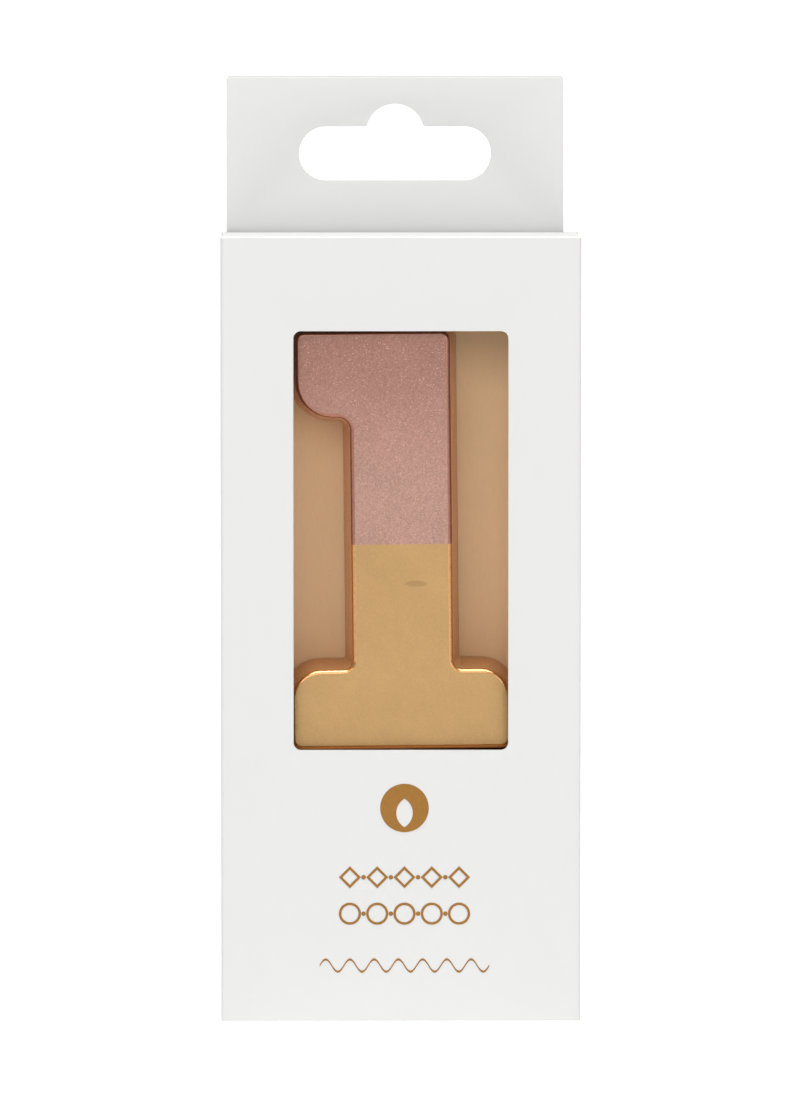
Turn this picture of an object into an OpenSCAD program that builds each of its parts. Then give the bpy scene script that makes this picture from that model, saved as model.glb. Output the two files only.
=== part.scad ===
// Number birthday candle, digit one, in its folding carton.
// The carton is a straight board box with a hang tab, a window and tuck closures at both ends.
// The candle stands on a card shelf inside it: wax, two paint coats, a wick and a cake pick.
// Front faces -Y, +Z is up, and the origin is the middle of the carton's base.

/* [Carton] */
// Outer width of the carton
carton_w = 60; // [50:0.5:80]
// Outer depth of the carton, without the tab's second ply
carton_d = 21.5; // [18:0.5:30]
// Outer height of the carton, lids closed
carton_h = 131; // [126:0.5:180]
// Thickness of the white board
board_t = 0.5; // [0.3:0.05:0.7]
// How far a tuck tongue reaches in behind its wall
tongue_len = 7; // [4:0.5:9]
// Gap between a tuck tongue and the wall that it slides behind
tongue_gap = 1; // [0.9:0.1:1.5]
// How much narrower each end of a tongue is than the carton
tongue_inset = 2.5; // [2:0.5:6]
// Length of the dust flaps, from the side wall inwards
dust_len = 12.5; // [6:0.5:14]
// Gap between a lid and the dust flaps under it
lid_gap = 0.2; // [0.1:0.05:0.4]
// Width of the glued seam flap
glue_flap_w = 12; // [8:0.5:14]

/* [Window] */
// Width of the window
window_w = 35.7; // [30:0.1:40]
// Height of the window
window_h = 69.8; // [60:0.2:72]
// Height of the window's lower edge above the base
window_z = 45.4; // [42:0.1:50]
// Corner radius of the window
window_r = 1.2; // [0.5:0.1:4]

/* [Hang tab] */
// Width of the hang tab
tab_w = 56.7; // [40:0.1:58]
// Height of the hang tab above the carton
tab_h = 26.3; // [22:0.1:40]
// Sideways set of the hang tab from the middle
tab_shift = -0.8; // [-1:0.1:1]
// Corner radius of the hang tab
tab_r = 0.6; // [0.3:0.1:6]
// Overall width of the hang slot
slot_w = 32.3; // [28:0.1:34]
// Height of the slot's straight part
slot_h = 9.1; // [7:0.1:10]
// Height of the slot's lower edge above the carton
slot_z = 8.7; // [6:0.1:10]
// Radius of the hump in the middle of the slot
hump_r = 4.9; // [4:0.1:5.5]
// How far the hump rises above the straight part
hump_rise = 3.8; // [2:0.1:4.2]
// How far the tab's second ply runs down the back of the carton
ply_drop = 26; // [10:0.5:60]

/* [Digit] */
// Height of the digit's front face
digit_h = 68.4; // [50:0.2:70]
// Thickness of the digit, front to back
digit_t = 12; // [8:0.1:15]
// Width of the stem
stem_w = 15.4; // [12:0.1:18]
// Sideways set of the stem from the middle of the foot
stem_shift = 0.35; // [-1:0.05:1]
// Width of the foot
foot_w = 35.3; // [30:0.1:38]
// Height of the foot
foot_h = 11.9; // [9:0.1:14]
// How far the flag reaches out from the stem
flag_reach = 9.1; // [7.5:0.1:10]
// Height of the flag
flag_h = 13; // [10:0.1:16]
// Corner radius of the foot's shoulders
shoulder_r = 4.3; // [2:0.1:5]
// Corner radius under the tip of the flag
flag_r = 5.5; // [2:0.1:6]
// Radius of the inner corner between stem and foot
foot_fillet = 2.3; // [2:0.1:3]
// Radius of the inner corner between stem and flag
flag_fillet = 2.7; // [2:0.1:3]
// Radius of the small outer corners
corner_r = 1; // [0.5:0.1:1.5]
// Radius of the rolled rim around the front face
rim_r = 0.75; // [0.4:0.05:1]
// How much wider the digit is at its back than at its rim
draft = 1.1; // [0.3:0.05:1.2]
// Thickness of the paint coats
coat_t = 0.15; // [0.1:0.05:0.3]
// Height of the line between the two coats, above the foot's lower edge
colour_z = 33.5; // [20:0.5:50]
// Lean of the candle to the left as it stands in the carton, degrees
lean = 0.6; // [0:0.1:1]

/* [Wick and pick] */
// Diameter of the wick
wick_d = 1.5; // [1:0.1:2]
// Length of the wick above the digit
wick_len = 7; // [4:0.5:9]
// Length of the wick inside the wax
wick_root = 30; // [10:1:50]
// Width of the cake pick's blades
pick_w = 3.6; // [2.5:0.1:5]
// Thickness of the cake pick's blades
pick_t = 1; // [0.8:0.1:1.5]
// Length of the pick below the foot
pick_len = 38; // [25:1:40]
// Length of the pick inside the wax
pick_root = 14; // [8:1:20]
// Length of the pick's pointed end
pick_point = 10; // [5:1:15]

/* [Card insert] */
// Thickness of the insert card
card_t = 0.5; // [0.3:0.05:0.7]
// Gap between the front board's inner face and the digit
face_gap = 1.75; // [1:0.05:4]
// Play between the candle and the insert that holds it
insert_play = 0.3; // [0.2:0.05:0.6]
// How far the insert rises above the digit
insert_rise = 2; // [1:0.5:6]
// Play between the pick and its slot in the shelf
pick_play = 1; // [0.8:0.1:1.5]

/* [Foil print] */
// Thickness of the foil, which stands on the board
foil_t = 0.04; // [0.03:0.01:0.1]
// Sideways set of the print from the middle of the front
print_shift = 0.6; // [-2:0.1:2]
// Diameter of the round badge
badge_d = 8.1; // [6:0.1:10]
// Height of the badge's centre above the base
badge_z = 35.7; // [30:0.1:40]
// Width of the upper ornament row
row_w = 21.9; // [15:0.1:30]
// Height of the shapes in an ornament row
row_h = 3.7; // [2:0.1:4.5]
// Height of the first row's centre above the base
row_1_z = 24.1; // [22:0.1:28]
// Height of the second row's centre above the base
row_2_z = 18; // [15:0.1:19]
// Height of the streamer's centre above the base
streamer_z = 9.3; // [6:0.1:12]
// Width of the streamer
streamer_w = 28.3; // [20:0.1:40]
// Height of the streamer's waves
streamer_h = 2.1; // [1:0.1:4]
// Line width of the ornament rows
stroke = 0.42; // [0.3:0.01:0.8]
// Line width of the streamer
streamer_stroke = 0.24; // [0.15:0.01:0.5]

/* [Hidden] */
$fn = 64;
e = 0.01;

white = "#ECECEA";
tan_card = "#C9A06A";
rose_gold = "#BE9587";
gold = "#C8A16D";
foil_gold = "#B08850";

// Carton: the second ply of the tab stands behind the back wall, so that the whole is centred on Y.
front_y = -(carton_d + board_t) / 2;
front_in = front_y + board_t;
back_y = front_y + carton_d;
back_in = back_y - board_t;
side_x = carton_w / 2;
side_in = side_x - board_t;
lid_len = carton_d - board_t - tongue_gap;
lid_play = 0.3;
// A crease turns about the middle of the board; its bead stays clear of the panel that turns.
crease = board_t / 2;
fold_y = front_y + lid_len - crease;
bead_r = crease - 0.05;
fold_gap = 3 * board_t / 4 + crease + 0.03;
fold_play = 0.06;
dust_top = carton_h - board_t - lid_gap;
dust_front = 1.2;
dust_slope = 0.6;
dust_back_gap = 2;
dust_w = lid_len - board_t - dust_back_gap;
tongue_r = min(5, (tongue_len - board_t) / 2);
tongue_w = carton_w - 2 * (board_t + tongue_inset);
seam_margin = board_t + tongue_len + 2.5;
seam_taper = 3;
tab_top = carton_h + tab_h;

// Candle: the digit's own frame has its origin at the middle of the front face's lower edge.
back_grow = rim_r + draft;
face_y = front_in + face_gap;
mid_y = face_y + digit_t / 2;
foot_z = window_z + 0.7;
shelf_top = foot_z - back_grow - foot_w / 2 * sin(lean);
digit_x = 0.15;
stem_left = stem_shift - stem_w / 2;
stem_right = stem_shift + stem_w / 2;
flag_left = stem_left - flag_reach;
back_chamfer = 0.3;
corner_steps = 8;

// Insert
// The wings clear both the foot and the flag, which leans out further up.
wing_x = max(foot_w / 2, digit_h * sin(lean) - flag_left) + back_grow + digit_x + insert_play + 0.2;
insert_y = face_y + digit_t + insert_play;
// The wings stand clear behind the lower tongue, which is tucked inside the front board.
wing_front = back_y - lid_len + board_t + insert_play;
insert_low = board_t + lid_gap + board_t + 0.3;
insert_high = foot_z + digit_h + back_grow + insert_rise;

// ---- Board shapes ----

module round_rect(w, h, r) {
    square([w - 2 * r, h], center = true);
    square([w, h - 2 * r], center = true);
    for (x = [-1, 1], y = [-1, 1]) translate([x * (w / 2 - r), y * (h / 2 - r)]) circle(r);
}

// A flat outline drawn in X and Z, stood up as a board that starts at y and is t thick.
module upright(y, t) {
    translate([0, y + t, 0]) rotate([90, 0, 0]) linear_extrude(t) children();
}

// Hang slot: straight part with round ends, a round hump, and a small radius where they meet.
module hang_slot() {
    foot_r = 0.8;
    drop = hump_r - hump_rise;
    foot_x = sqrt(pow(hump_r + foot_r, 2) - pow(foot_r + drop, 2));
    translate([tab_shift, carton_h + slot_z + slot_h]) {
        translate([0, -slot_h / 2]) round_rect(slot_w, slot_h, slot_h / 2 - e);
        translate([0, -drop]) circle(hump_r);
        for (side = [-1, 1]) difference() {
            polygon([[0, -drop], [side * foot_x, -drop], [side * foot_x, foot_r]]);
            translate([side * foot_x, foot_r]) circle(foot_r);
        }
    }
}

// Hang tab outline, from z_low up to its top edge.
module tab_outline(z_low) {
    h = tab_top - z_low;
    translate([tab_shift, z_low + h / 2]) round_rect(tab_w, h, tab_r);
}

// Crease bead: the narrow ridge that a flap's crease leaves along a wall's edge, drawn along X.
module bead(length) {
    translate([-length / 2, 0, 0]) rotate([0, 90, 0]) cylinder(r = bead_r, h = length);
    translate([-length / 2, -bead_r, -crease]) cube([length, 2 * bead_r, crease]);
}

module front_panel() {
    color(white) {
        upright(front_y, board_t) difference() {
            translate([-side_x, 0]) square([carton_w, carton_h - board_t]);
            translate([0, window_z + window_h / 2]) round_rect(window_w, window_h, window_r);
        }
        translate([0, front_y + crease, carton_h - crease]) bead(carton_w - 2 * lid_play);
    }
}

module back_panel() {
    color(white) {
        upright(back_in, board_t) difference() {
            union() {
                translate([-side_x, board_t]) square([carton_w, carton_h - board_t]);
                tab_outline(carton_h - 2 * tab_r - 1);
            }
            hang_slot();
        }
        translate([0, back_y - crease, crease]) mirror([0, 0, 1]) bead(carton_w - 2 * lid_play);
    }
}

module tab_ply() {
    color(white) upright(back_y, board_t) difference() {
        tab_outline(carton_h - ply_drop);
        hang_slot();
    }
}

// Side wall; it stops short of both lids, so that a dust flap can fold over its edge.
module side_panel(side) {
    low = board_t + lid_gap + board_t;
    high = dust_top - board_t;
    x = side * (side_x - crease);
    y = front_y + (dust_front + dust_w) / 2;
    color(white) {
        translate([x - crease, front_in, low]) cube([board_t, back_in - front_in, high - low]);
        translate([x, y, high + crease]) rotate([0, 0, 90]) bead(dust_w - dust_front);
        translate([x, -y + front_y + back_y, low - crease]) rotate([0, 0, 90]) mirror([0, 0, 1])
            bead(dust_w - dust_front);
    }
}

// Seam flap: folded from the left wall and glued inside the back wall.
module glue_flap() {
    x = -side_in;
    low = seam_margin;
    high = carton_h - seam_margin;
    color(white) upright(back_in - board_t, board_t)
        polygon([[x, low], [x + glue_flap_w, low + seam_taper],
            [x + glue_flap_w, high - seam_taper], [x, high]]);
}

// ---- Tuck closures, drawn once for the top and turned over for the bottom ----

module at_bottom() {
    translate([0, front_y + back_y, carton_h]) rotate([180, 0, 0]) children();
}

module lid() {
    w = carton_w - 2 * lid_play;
    color(white) {
        translate([-w / 2, front_in, carton_h - board_t]) cube([w, fold_y - front_in, board_t]);
        translate([-w / 2, fold_y, carton_h - crease]) rotate([0, 90, 0]) cylinder(r = crease, h = w);
        translate([-tongue_w / 2, fold_y - bead_r, carton_h - crease - fold_gap + fold_play])
            cube([tongue_w, 2 * bead_r, fold_gap - crease - fold_play]);
    }
}

module tongue() {
    high = carton_h - crease - fold_gap;
    low = carton_h - board_t - tongue_len;
    h = high - low;
    color(white) upright(front_y + lid_len - board_t, board_t) {
        translate([-tongue_w / 2, low + tongue_r]) square([tongue_w, h - tongue_r]);
        translate([tongue_r - tongue_w / 2, low]) square([tongue_w - 2 * tongue_r, h]);
        for (side = [-1, 1]) translate([side * (tongue_w / 2 - tongue_r), low + tongue_r])
            circle(tongue_r);
    }
}

// Dust flap: its front edge slants back so that the rising lid stays clear of it.
module dust_flap(side) {
    r = 2;
    tip_front = dust_front + dust_slope * dust_len;
    color(white) translate([side * side_x, front_y, dust_top - board_t]) mirror([side > 0 ? 1 : 0, 0, 0])
        linear_extrude(board_t) difference() {
            polygon([[board_t, dust_front], [dust_len, tip_front], [dust_len, dust_w], [board_t, dust_w]]);
            translate([dust_len - r, dust_w - r]) difference() {
                square(r + 1);
                circle(r);
            }
        }
}

// ---- Insert: one folded card that stands in the carton and carries the candle ----

module insert_back() {
    color(tan_card) translate([-wing_x, insert_y, insert_low])
        cube([2 * wing_x, card_t, insert_high - insert_low]);
}

module insert_wing(side) {
    color(tan_card) translate([side > 0 ? wing_x : -wing_x - card_t, wing_front, insert_low])
        cube([card_t, insert_y + card_t - wing_front, insert_high - insert_low]);
}

module insert_shelf() {
    slot = pick_w + 2 * pick_play;
    color(tan_card) difference() {
        translate([-wing_x, front_in + lid_play, shelf_top - card_t])
            cube([2 * wing_x, insert_y - front_in - lid_play, card_t]);
        translate([digit_x - slot / 2, mid_y - slot / 2, shelf_top - card_t - 1])
            cube([slot, slot, card_t + 2]);
    }
}

// ---- Candle ----

// One rounded right-angled corner: its point, radius, first angle, and +1 outside or -1 inside.
// Grown by d, an outside corner's radius grows and an inside corner's radius shrinks.
function corner(x, z, r, a, turn, d) =
    let (b = a + 90 * turn, c = [x - r * (cos(a) + cos(b)), z - r * (sin(a) + sin(b))])
    [for (i = [0:corner_steps]) let (t = a + 90 * turn * i / corner_steps)
        c + (r + turn * d) * [cos(t), sin(t)]];

// The digit's outline above and below the line between its coats, grown by d all round.
function outline_above(d) = concat(
    [[stem_right + d, colour_z]],
    corner(stem_right, digit_h, corner_r, 0, 1, d),
    corner(flag_left, digit_h, corner_r, 90, 1, d),
    corner(flag_left, digit_h - flag_h, flag_r, 180, 1, d),
    corner(stem_left, digit_h - flag_h, flag_fillet, 90, -1, d),
    [[stem_left - d, colour_z]]);
function outline_below(d) = concat(
    [[stem_left - d, colour_z]],
    corner(stem_left, foot_h, foot_fillet, 0, -1, d),
    corner(-foot_w / 2, foot_h, shoulder_r, 90, 1, d),
    corner(-foot_w / 2, 0, corner_r, 180, 1, d),
    [[stem_shift, -d]],
    corner(foot_w / 2, 0, corner_r, 270, 1, d),
    corner(foot_w / 2, foot_h, shoulder_r, 0, 1, d),
    corner(stem_right, foot_h, foot_fillet, 270, -1, d),
    [[stem_right + d, colour_z]]);

// Each half's outline is cut into triangles from one point that all its others can be seen from:
// the upper right corner above, and the middle of the foot's lower edge below.
hub_above = 1;
hub_below = 1 + 3 * (corner_steps + 1);
function fan(ring, hub) = let (n = len(ring))
    [for (i = [1:n - 2]) [ring[hub], ring[(hub + i) % n], ring[(hub + i + 1) % n]]];
function flip(faces) = [for (f = faces) [f[0], f[2], f[1]]];
function count(first, last) = [for (i = [first:last]) i];
function split(quads) = [for (q = quads) each [[q[0], q[1], q[2]], [q[0], q[2], q[3]]]];

// Depth and growth of each ring, from the flat face round the rim and down the drafted wall.
rim_steps = 4;
digit_rings = concat(
    [for (i = [0:rim_steps]) let (t = 90 * i / rim_steps) [rim_r * (1 - cos(t)), rim_r * sin(t)]],
    [[digit_t - back_chamfer, back_grow], [digit_t, back_grow - back_chamfer]]);

// Depth of ring k, on a surface that is inset by t.
ring_count = len(digit_rings);
function ring_y(k, t) = k == 0 ? t : k == ring_count - 1 ? digit_t - t : digit_rings[k][0];

// Whole digit, shrunk by t on every side.
module digit_solid(t) {
    outlines = [for (r = digit_rings) let (low = outline_below(r[1] - t))
        concat(outline_above(r[1] - t), [for (i = [1:len(low) - 2]) low[i]])];
    n = len(outlines[0]);
    cut = len(outline_above(0)) - 1;
    points = [for (k = [0:ring_count - 1], p = outlines[k]) [p[0], ring_y(k, t), p[1]]];
    walls = split([for (k = [0:ring_count - 2], i = [0:n - 1])
        let (j = (i + 1) % n, a = k * n, b = a + n) [a + i, a + j, b + j, b + i]]);
    z = (ring_count - 1) * n;
    face = concat(fan(count(0, cut), hub_above), fan(concat(count(cut, n - 1), [0]), hub_below));
    back = [for (f = face) [f[0] + z, f[1] + z, f[2] + z]];
    polyhedron(points, concat(walls, flip(face), back), convexity = 6);
}

// One coat: the skin between the digit and the shrunk digit, on one side of the colour line.
// It is open where the halves meet, with a flat edge there from its outer to its inner surface.
module coat_skin(above) {
    function skin(t) = [for (k = [0:ring_count - 1])
        let (d = digit_rings[k][1] - t)
        each [for (p = above ? outline_above(d) : outline_below(d)) [p[0], ring_y(k, t), p[1]]]];
    outer = skin(0);
    inner = skin(coat_t);
    hub = above ? hub_above : hub_below;
    s = len(outer);
    n = s / ring_count;
    last = n - 1;
    z = s - n;
    quads = [for (k = [0:ring_count - 2]) let (a = k * n, b = a + n) each concat(
        [for (i = [0:n - 2]) [a + i, a + i + 1, b + i + 1, b + i]],
        [for (i = [0:n - 2]) [s + a + i, s + b + i, s + b + i + 1, s + a + i + 1]],
        [[a, b, s + b, s + a], [b + last, a + last, s + a + last, s + b + last]])];
    edges = [[last, 0, s, s + last], [z, z + last, s + z + last, s + z]];
    caps = concat(flip(fan(count(0, last), hub)), fan(count(s, s + last), hub),
        fan(count(z, z + last), hub), flip(fan(count(s + z, s + z + last), hub)));
    polyhedron(concat(outer, inner), concat(split(concat(quads, edges)), caps), convexity = 6);
}

// Places a candle piece in the carton, leaning a little to the left.
module in_carton() {
    translate([digit_x, face_y, foot_z]) rotate([0, -lean, 0]) children();
}

module wick_solid(d, root) {
    top = digit_h + back_grow;
    translate([stem_shift, digit_t / 2, top - root]) cylinder(d = d, h = root + wick_len);
}

// Cake pick: two crossed pointed blades.
module pick_solid() {
    half = pick_w / 2;
    for (turn = [0, 90]) translate([0, digit_t / 2, 0]) rotate([90, 0, turn])
        translate([0, 0, -pick_t / 2]) linear_extrude(pick_t)
            polygon([[-half, pick_root], [-half, pick_point - pick_len], [0, -pick_len],
                [half, pick_point - pick_len], [half, pick_root]]);
}

module wax_digit() {
    color("#F3EBDD") in_carton() difference() {
        digit_solid(coat_t);
        wick_solid(wick_d, wick_root);
        pick_solid();
    }
}

module coat(above) {
    in_carton() difference() {
        coat_skin(above);
        wick_solid(wick_d, wick_root);
        pick_solid();
    }
}

module rose_gold_coat() { color(rose_gold) coat(true); }
module gold_coat() { color(gold) coat(false); }
module wick() { color("#F7F4EC") in_carton() wick_solid(wick_d, wick_root); }
module cake_pick() { color("#F4F4F2") in_carton() pick_solid(); }

// ---- Foil print: plain party shapes on the front board ----

module foil() { upright(front_y - foil_t, foil_t) translate([print_shift, 0]) children(); }

// Round badge with a flame left out of its middle.
module foil_badge() {
    r = badge_d * 0.17;
    color(foil_gold) foil() translate([0, badge_z]) difference() {
        circle(badge_d / 2);
        translate([0, -r * 0.6]) {
            circle(r);
            intersection_for (side = [-1, 1]) translate([side * r, 0]) circle(2 * r);
        }
    }
}

module ring_shape(sides) {
    difference() {
        circle(row_h / 2, $fn = sides);
        circle(row_h / 2 - stroke / (sides == 4 ? cos(45) : 1), $fn = sides);
    }
}

// Ornament row: outlined shapes with a dot between each two.
module foil_row(z, count, sides) {
    pitch = (row_w - row_h) / (count - 1);
    color(foil_gold) foil() translate([-(row_w - row_h) / 2, z])
        for (i = [0:count - 1]) translate([i * pitch, 0]) {
            ring_shape(sides);
            if (i < count - 1) translate([pitch / 2, 0]) circle(stroke * 0.9, $fn = 24);
        }
}

// Streamer: one thin waving line.
module foil_streamer() {
    waves = 7;
    steps = 84;
    function height(t) = streamer_h / 2 * sin(360 * waves * t);
    function edge(t, side) = [streamer_w * (t - 0.5), height(t) + side * streamer_stroke * 0.75];
    color(foil_gold) foil() translate([0, streamer_z])
        polygon(concat([for (i = [0:steps]) edge(i / steps, -1)], [for (i = [steps:-1:0]) edge(i / steps, 1)]));
}

front_panel();
back_panel();
tab_ply();
side_panel(-1);  // left_panel
side_panel(1);  // right_panel
glue_flap();
lid();  // top_lid
tongue();  // top_tongue
dust_flap(-1);  // top_dust_left
dust_flap(1);  // top_dust_right
at_bottom() lid();  // bottom_lid
at_bottom() tongue();  // bottom_tongue
at_bottom() dust_flap(-1);  // bottom_dust_left
at_bottom() dust_flap(1);  // bottom_dust_right
insert_back();
insert_wing(-1);  // insert_wing_left
insert_wing(1);  // insert_wing_right
insert_shelf();
wax_digit();
rose_gold_coat();
gold_coat();
wick();
cake_pick();
foil_badge();
foil_row(row_1_z, 5, 4);  // foil_row_upper
foil_row(row_2_z, 5, 64);  // foil_row_lower
foil_streamer();
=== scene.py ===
"""Number birthday candle in its hang-tab window carton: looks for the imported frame."""

import math

import bmesh
import bpy
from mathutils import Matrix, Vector


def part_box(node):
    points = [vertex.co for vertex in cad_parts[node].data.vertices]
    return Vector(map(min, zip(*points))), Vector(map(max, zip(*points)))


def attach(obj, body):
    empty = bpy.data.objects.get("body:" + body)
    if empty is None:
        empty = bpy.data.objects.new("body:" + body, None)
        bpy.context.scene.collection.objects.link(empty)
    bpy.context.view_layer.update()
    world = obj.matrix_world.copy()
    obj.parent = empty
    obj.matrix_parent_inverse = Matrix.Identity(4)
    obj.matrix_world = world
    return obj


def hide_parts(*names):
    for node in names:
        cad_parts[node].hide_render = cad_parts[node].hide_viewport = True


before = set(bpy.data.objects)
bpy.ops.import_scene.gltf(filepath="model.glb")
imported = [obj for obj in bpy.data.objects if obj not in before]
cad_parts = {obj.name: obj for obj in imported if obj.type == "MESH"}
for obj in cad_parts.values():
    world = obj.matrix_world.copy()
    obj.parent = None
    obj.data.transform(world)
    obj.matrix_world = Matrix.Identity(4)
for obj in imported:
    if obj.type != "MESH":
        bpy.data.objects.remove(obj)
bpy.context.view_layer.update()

bl_info = {
    "name": "Number candle pack",
    "version": (1, 0, 0),
    "blender": (4, 5, 0),
    "location": "3D View > Sidebar > Candle pack",
    "description": "Builds a number candle in its window carton around a packed frame",
    "category": "Add Mesh",
}

MM = 0.001
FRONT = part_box("front_panel")
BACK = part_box("back_panel")
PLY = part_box("tab_ply")
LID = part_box("top_lid")
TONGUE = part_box("top_tongue")
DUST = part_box("top_dust_left")
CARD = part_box("insert_back")
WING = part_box("insert_wing_left")
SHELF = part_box("insert_shelf")
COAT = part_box("gold_coat")
BOARD = DUST[1].z - DUST[0].z
HALF = BOARD / 2
PACK_TOP = LID[1].z
SIDE_X = BACK[1].x
# How near two points or planes have to be to count as the same
TOUCH = 0.01 * MM
# How far a cutter reaches past the board that it cuts
PAST = MM
# Edges that turn by more degrees than this are softened, and shaded as edges
SHARP = 35
# Softness of the edges of a lid, flap or shelf, as a share of the die-cut edge's
CUT_SHARE = 0.6


# ---- Modelling helpers ----


def activate(piece):
    """Make one piece the only selected and active object, in object mode."""
    if bpy.context.object and bpy.context.object.mode != "OBJECT":
        bpy.ops.object.mode_set(mode="OBJECT")
    bpy.ops.object.select_all(action="DESELECT")
    piece.hide_set(False)
    piece.select_set(True)
    bpy.context.view_layer.objects.active = piece


def settle(piece):
    """Put the object's place, turn and scale into its mesh."""
    activate(piece)
    bpy.ops.object.transform_apply(location=True, rotation=True, scale=True)
    return piece


def add_block(name, low, high):
    """A block between two corners."""
    low, high = Vector(low), Vector(high)
    bpy.ops.object.select_all(action="DESELECT")
    bpy.ops.mesh.primitive_cube_add(size=1, location=(low + high) / 2, scale=high - low)
    piece = bpy.context.object
    piece.name = piece.data.name = name
    return settle(piece)


def pick(piece, kind, test):
    """In edit mode, select the verts, edges or faces whose middle (and normal) pass a test."""
    activate(piece)
    bpy.ops.object.mode_set(mode="EDIT")
    bpy.ops.mesh.select_mode(type={"verts": "VERT", "edges": "EDGE", "faces": "FACE"}[kind])
    bpy.ops.mesh.select_all(action="DESELECT")
    mesh = bmesh.from_edit_mesh(piece.data)
    found = False
    for item in getattr(mesh, kind):
        if kind == "verts":
            chosen = test(item.co, item.normal)
        elif kind == "edges":
            a, b = item.verts[0].co, item.verts[1].co
            chosen = test((a + b) / 2, (b - a).normalized() if (b - a).length else Vector())
        else:
            chosen = test(item.calc_center_median(), item.normal)
        if chosen:
            item.select_set(True)
            found = True
    mesh.select_flush_mode()
    bmesh.update_edit_mesh(piece.data)
    if not found:
        raise RuntimeError(f"{piece.name}: no {kind} there to select")


def leave_edit(piece):
    """Back to object mode, once an edit of the piece is done."""
    bpy.ops.object.mode_set(mode="OBJECT")
    return piece


def bevel(piece, test, width, segments):
    """Round the edges that pass a test."""
    pick(piece, "edges", test)
    bpy.ops.mesh.bevel(offset=width, segments=segments, affect="EDGES", clamp_overlap=True)
    return leave_edit(piece)


def along(axis):
    """A test for edges that run along one axis."""
    return lambda at, way: abs(way[axis]) > 0.99


def finish_with(piece, kind, **settings):
    """Add a modifier and apply it."""
    activate(piece)
    modifier = piece.modifiers.new(kind.title(), kind)
    for key, value in settings.items():
        setattr(modifier, key, value)
    bpy.ops.object.modifier_apply(modifier=modifier.name)
    return piece


def carve(piece, cutter, operation="DIFFERENCE"):
    """Cut another piece out of this one, or add it, and remove it."""
    finish_with(piece, "BOOLEAN", object=cutter, operation=operation, solver="EXACT")
    bpy.data.objects.remove(cutter)
    return piece


def soften(piece, width, segments=1):
    """Take the sharpness off every cut edge."""
    return finish_with(piece, "BEVEL", width=width, segments=segments, limit_method="ANGLE",
                       angle_limit=math.radians(SHARP), use_clamp_overlap=True)


def smooth(piece, angle=SHARP):
    """Shade smooth, except across edges sharper than an angle in degrees."""
    activate(piece)
    bpy.ops.object.shade_smooth_by_angle(angle=math.radians(angle))
    return piece


def copy_of(piece, name, move=(0, 0, 0), turn=(0, 0, 0), flip=(1, 1, 1)):
    """A copy with its own mesh, turned, mirrored and moved."""
    activate(piece)
    bpy.ops.object.duplicate(linked=False)
    twin = bpy.context.object
    twin.name = twin.data.name = name
    twin.rotation_euler = turn
    twin.scale = flip
    twin.location = move
    settle(twin)
    if flip[0] * flip[1] * flip[2] < 0:
        pick(twin, "faces", lambda at, way: True)
        bpy.ops.mesh.normals_make_consistent(inside=False)
        leave_edit(twin)
    return twin


def place(piece, body, materials, nodes):
    """Give a finished piece its materials, its CAD body and the nodes that it stands for."""
    piece.data.materials.clear()
    for material in materials:
        piece.data.materials.append(material)
    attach(piece, body)
    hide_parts(*nodes)


def paint_faces(piece, index, test):
    """Give the faces that pass a test another of the piece's materials."""
    for face in piece.data.polygons:
        if test(face.center, face.normal):
            face.material_index = index


# ---- Shader helpers ----


class Field:
    """A shader value. Arithmetic on it adds Math nodes to its tree."""

    def __init__(self, finish, socket):
        self.finish = finish
        self.socket = socket

    def math(self, operation, *values, clamp=False):
        node = self.finish.add("Math", {"operation": operation, "use_clamp": clamp},
                               dict(enumerate(values)))
        return Field(self.finish, node.outputs[0])

    def __add__(self, other):
        return self.math("ADD", self, other)

    __radd__ = __add__

    def __sub__(self, other):
        return self.math("SUBTRACT", self, other)

    def __rsub__(self, other):
        return self.math("SUBTRACT", other, self)

    def __mul__(self, other):
        return self.math("MULTIPLY", self, other)

    __rmul__ = __mul__

    def __gt__(self, other):
        return self.math("GREATER_THAN", self, other)

    def clamp(self):
        return self.math("ADD", self, 0.0, clamp=True)

    def between(self, low, high):
        """0 below low, 1 above high, and a smooth ramp between."""
        node = self.finish.add("MapRange", {"interpolation_type": "SMOOTHSTEP"},
                               {"Value": self, "From Min": low, "From Max": high})
        return Field(self.finish, node.outputs[0])


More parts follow.
